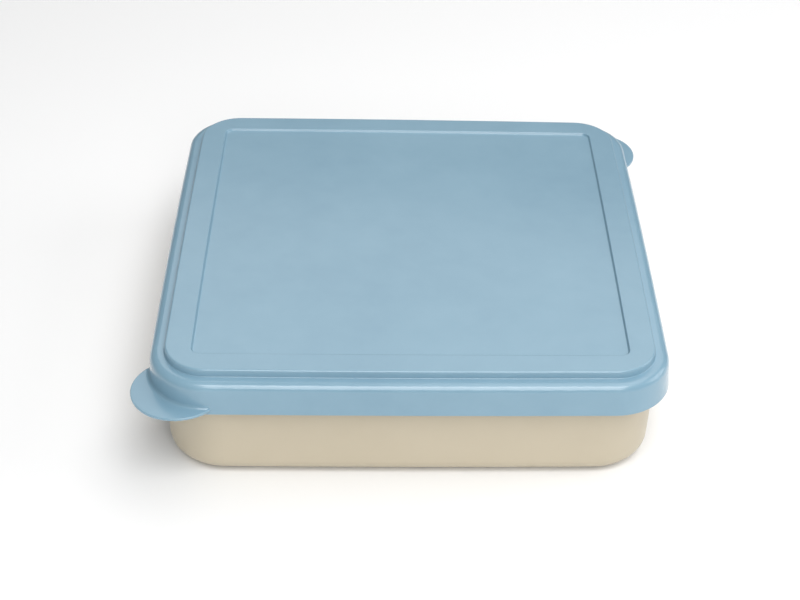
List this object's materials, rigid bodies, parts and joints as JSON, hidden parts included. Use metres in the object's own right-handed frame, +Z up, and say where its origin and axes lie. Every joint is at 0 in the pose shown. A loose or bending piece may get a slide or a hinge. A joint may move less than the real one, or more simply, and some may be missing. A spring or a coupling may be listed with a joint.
{
  "type": "meal tray with lid",
  "caption": "Shallow square food tray with rounded corners, walled compartments and a press-on lid that peels off by tabs on opposite corners.",
  "frame": {"origin": "on the surface it stands on, under the centre of the tray", "axes": "+Z up, +X to the right and +Y to the back as seen from the front; the lid's tabs are on the front-left and back-right corners"},
  "size_m": [0.2128, 0.2128, 0.051],
  "materials": {
    "tray_plastic": "satin moulded plastic, sand beige",
    "lid_plastic": "satin soft moulded plastic, dusty blue"
  },
  "bodies": {
    "tray": {"tray": "tray_plastic"},
    "lid": {"lid": "lid_plastic"}
  },
  "joints": [
    {"name": "lid_lift", "type": "slide", "parent": "tray", "child": "lid", "axis": [0, 0, 1], "range_m": [0, 0.12]}
  ]
}
